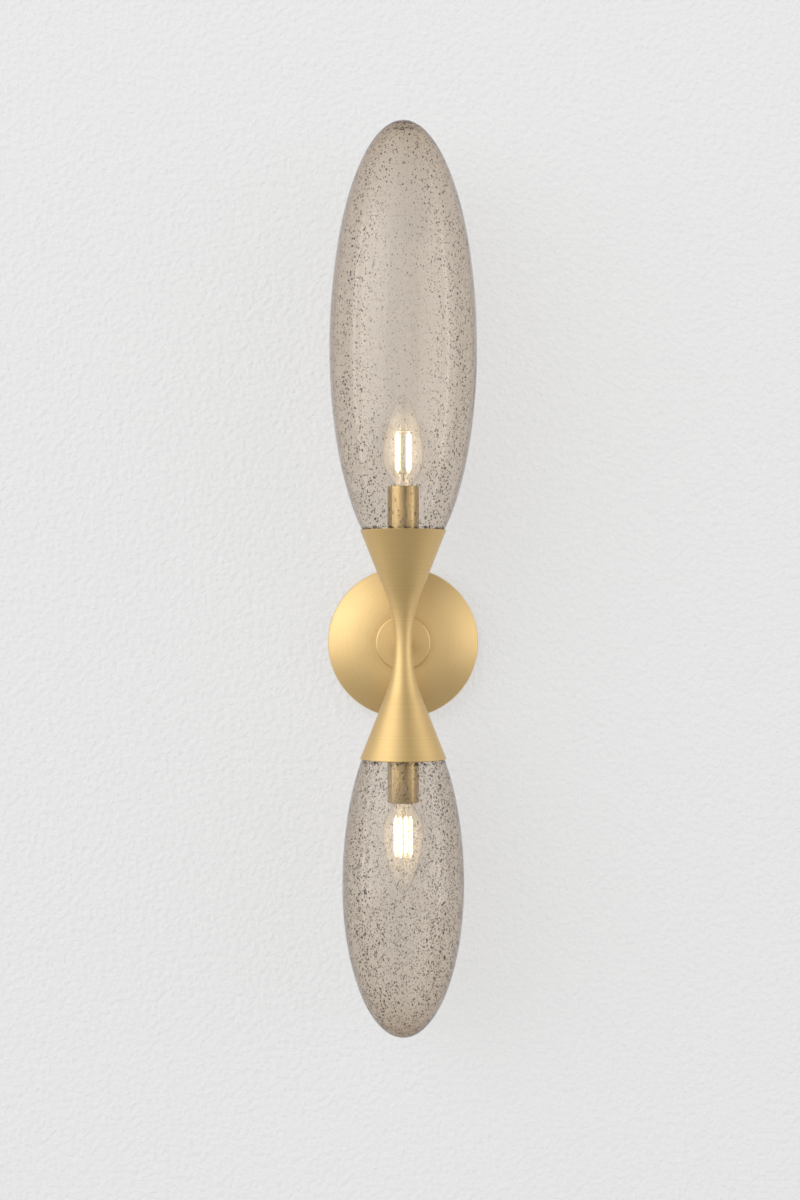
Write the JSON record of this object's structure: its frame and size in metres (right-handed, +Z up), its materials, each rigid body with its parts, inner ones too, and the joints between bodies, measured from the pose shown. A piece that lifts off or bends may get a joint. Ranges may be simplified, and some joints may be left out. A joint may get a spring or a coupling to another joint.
{
  "type": "wall sconce",
  "caption": "Up and down wall sconce: brass hourglass on a round domed plate, with a tall and a short seeded glass shade over candle bulbs.",
  "frame": {"origin": "middle of the wall plate on the wall plane, which is also the middle of the box screw slots", "axes": "+Z up along the lamp axis towards the tall shade, +Y into the wall, +X to the right seen from the room"},
  "size_m": [0.1206, 0.132, 0.707],
  "materials": {
    "brass": "satin, brushed in fine rings",
    "seeded_glass": "smoke taupe, glossy, with small air bubbles",
    "bulb_glass": "clear gloss",
    "zinc_steel": "zinc plated",
    "green_steel": "green coated",
    "copper": "bare copper",
    "connector_plastic": "moulded",
    "silicone": "translucent silicone",
    "socket_phenolic": "moulded phenolic",
    "nickel": "nickel plated",
    "live_insulation": "smooth",
    "neutral_insulation": "smooth",
    "base_insulator": "black glass",
    "solder": "dull solder",
    "filament": "phosphor coated, glows when lit"
  },
  "bodies": {
    "fixture": {"backplate": "brass", "arm_flange": "brass", "arm_tube": "brass", "body_shell": "brass", "arm_nipple": "zinc_steel", "arm_lock_washer": "zinc_steel", "arm_lock_nut": "zinc_steel", "ground_lug": "copper", "ground_lead": "copper", "ground_screw": "green_steel", "mounting_strap": "zinc_steel", "backplate_screws": "brass", "wire_connectors": "connector_plastic", "center_tube": "zinc_steel", "upper_shade_cup": "zinc_steel", "upper_shade_gasket": "silicone", "upper_cup_washer": "zinc_steel", "upper_cup_nut": "zinc_steel", "upper_socket_body": "socket_phenolic", "upper_socket_shell": "nickel", "upper_socket_contact": "nickel", "upper_socket_sleeve": "brass", "upper_live_lead": "live_insulation", "upper_neutral_lead": "neutral_insulation", "lower_shade_cup": "zinc_steel", "lower_shade_gasket": "silicone", "lower_cup_washer": "zinc_steel", "lower_cup_nut": "zinc_steel", "lower_socket_body": "socket_phenolic", "lower_socket_shell": "nickel", "lower_socket_contact": "nickel", "lower_socket_sleeve": "brass", "lower_live_lead": "live_insulation", "lower_neutral_lead": "neutral_insulation"},
    "upper_shade": {"upper_glass": "seeded_glass", "upper_glass_collar": "brass"},
    "upper_bulb": {"upper_bulb_glass": "bulb_glass", "upper_bulb_base": "nickel", "upper_bulb_insulator": "base_insulator", "upper_bulb_tip": "solder", "upper_bulb_stem": "bulb_glass", "upper_bulb_filaments": "filament", "upper_bulb_wires": "nickel"},
    "lower_shade": {"lower_glass": "seeded_glass", "lower_glass_collar": "brass"},
    "lower_bulb": {"lower_bulb_glass": "bulb_glass", "lower_bulb_base": "nickel", "lower_bulb_insulator": "base_insulator", "lower_bulb_tip": "solder", "lower_bulb_stem": "bulb_glass", "lower_bulb_filaments": "filament", "lower_bulb_wires": "nickel"}
  },
  "joints": [
    {"name": "upper_shade_lift", "type": "slide", "parent": "fixture", "child": "upper_shade", "axis": [0, 0, 1], "range_m": [0, 0.125]},
    {"name": "lower_shade_drop", "type": "slide", "parent": "fixture", "child": "lower_shade", "axis": [0, 0, -1], "range_m": [0, 0.125]},
    {"name": "upper_bulb_out", "type": "slide", "parent": "fixture", "child": "upper_bulb", "axis": [0, 0, 1], "range_m": [0, 0.03]},
    {"name": "lower_bulb_out", "type": "slide", "parent": "fixture", "child": "lower_bulb", "axis": [0, 0, -1], "range_m": [0, 0.03]}
  ]
}
